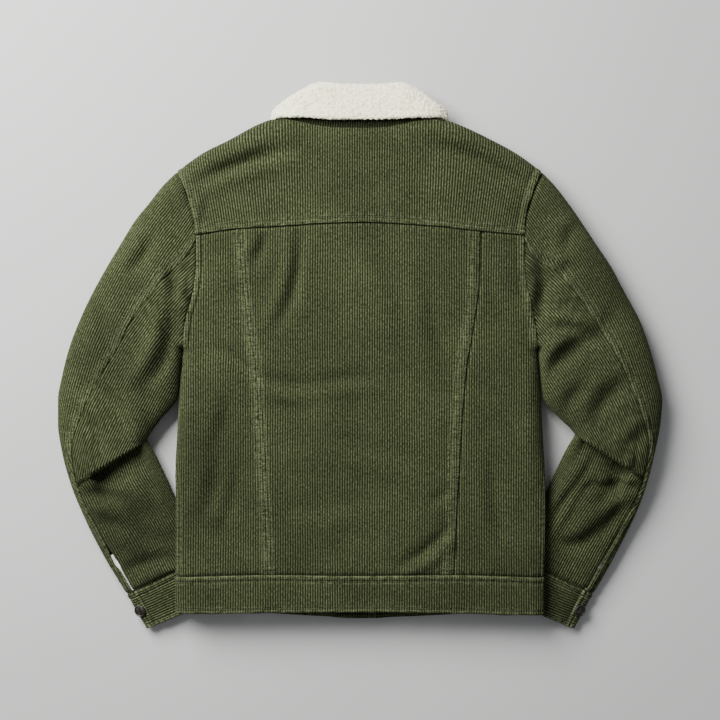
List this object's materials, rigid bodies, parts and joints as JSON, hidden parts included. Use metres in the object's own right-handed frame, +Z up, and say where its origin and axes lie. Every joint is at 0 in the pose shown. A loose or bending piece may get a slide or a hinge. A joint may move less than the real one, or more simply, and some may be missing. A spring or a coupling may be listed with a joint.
{
  "type": "corduroy jacket",
  "caption": "Wide-wale corduroy trucker jacket with a pile collar, lying on its front with its sleeves bent at the elbows.",
  "frame": {"origin": "centre of the bounding box in plan, on the surface the jacket lies on", "axes": "+Y towards the collar, +X towards the wearer's right sleeve, +Z up, away from the surface; the jacket lies face down, so +Z is out of its back"},
  "size_m": [0.7822, 0.711, 0.0475],
  "materials": {
    "corduroy": "wide-wale cotton corduroy, olive green, brushed",
    "sherpa": "cream curled pile",
    "lining": "white woven lining",
    "button_metal": "dark antique metal"
  },
  "bodies": {
    "root": {"back_yoke": "corduroy", "back_center": "corduroy", "back_side_left": "corduroy", "back_side_right": "corduroy", "front_left": "corduroy", "front_right": "corduroy", "front_placket": "corduroy", "waistband_back": "corduroy", "waistband_left": "corduroy", "waistband_right": "corduroy", "sleeve_under_left": "corduroy", "sleeve_outer_left": "corduroy", "vent_lining_left": "lining", "cuff_left": "corduroy", "cuff_button_left": "button_metal", "sleeve_under_right": "corduroy", "sleeve_outer_right": "corduroy", "vent_lining_right": "lining", "cuff_right": "corduroy", "cuff_button_right": "button_metal", "front_button_1": "button_metal", "front_button_2": "button_metal", "front_button_3": "button_metal", "front_button_4": "button_metal", "front_button_5": "button_metal", "front_button_6": "button_metal", "collar_sherpa": "sherpa", "collar_stand": "corduroy"}
  },
  "joints": []
}
